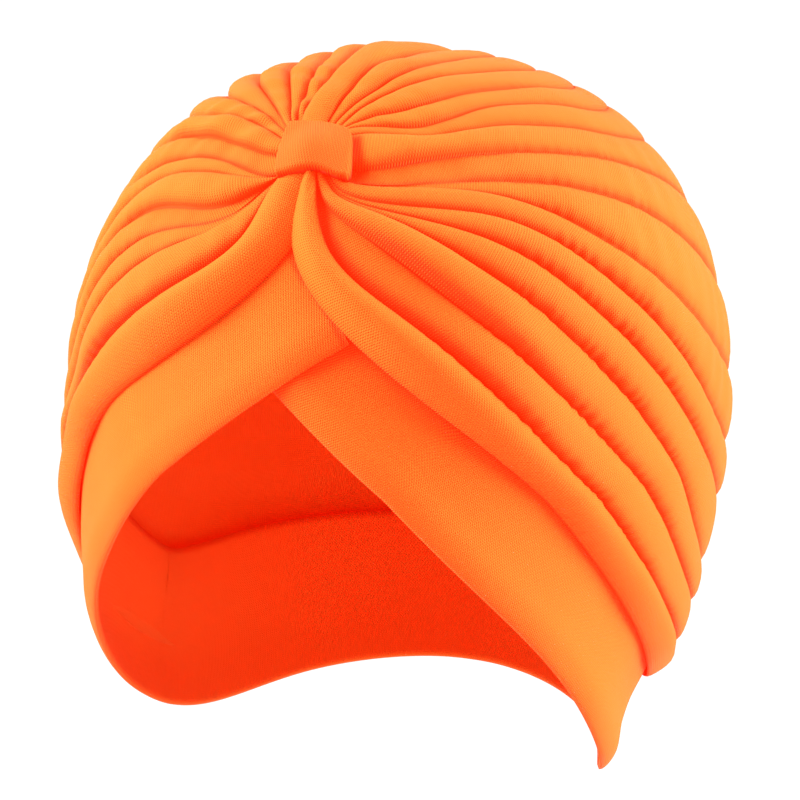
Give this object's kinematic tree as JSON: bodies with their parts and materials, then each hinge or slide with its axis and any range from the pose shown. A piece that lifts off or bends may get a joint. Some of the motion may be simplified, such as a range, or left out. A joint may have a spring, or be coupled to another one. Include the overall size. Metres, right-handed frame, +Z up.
{
  "type": "pleated turban hat",
  "caption": "Pull-on jersey turban hat with pleats that fan from a knot above the brow to a back seam, over a crossed folded band.",
  "frame": {"origin": "top of the hollow, on the middle line of the lining, where the hat sits on a head", "axes": "+X to the wearer's left, +Y to the wearer's back, +Z up; the knot and the crossed brow face -Y"},
  "size_m": [0.1766, 0.2015, 0.1828],
  "materials": {
    "pleated_jersey": "bright orange polyester jersey, matt with a soft sheen",
    "band_knit": "bright orange folded jersey, fine ribbed knit",
    "loop_jersey": "bright orange jersey strap, matt"
  },
  "bodies": {
    "root": {"pleated_crown": "pleated_jersey", "brow_band": "band_knit", "knot_loop": "loop_jersey"}
  },
  "joints": []
}
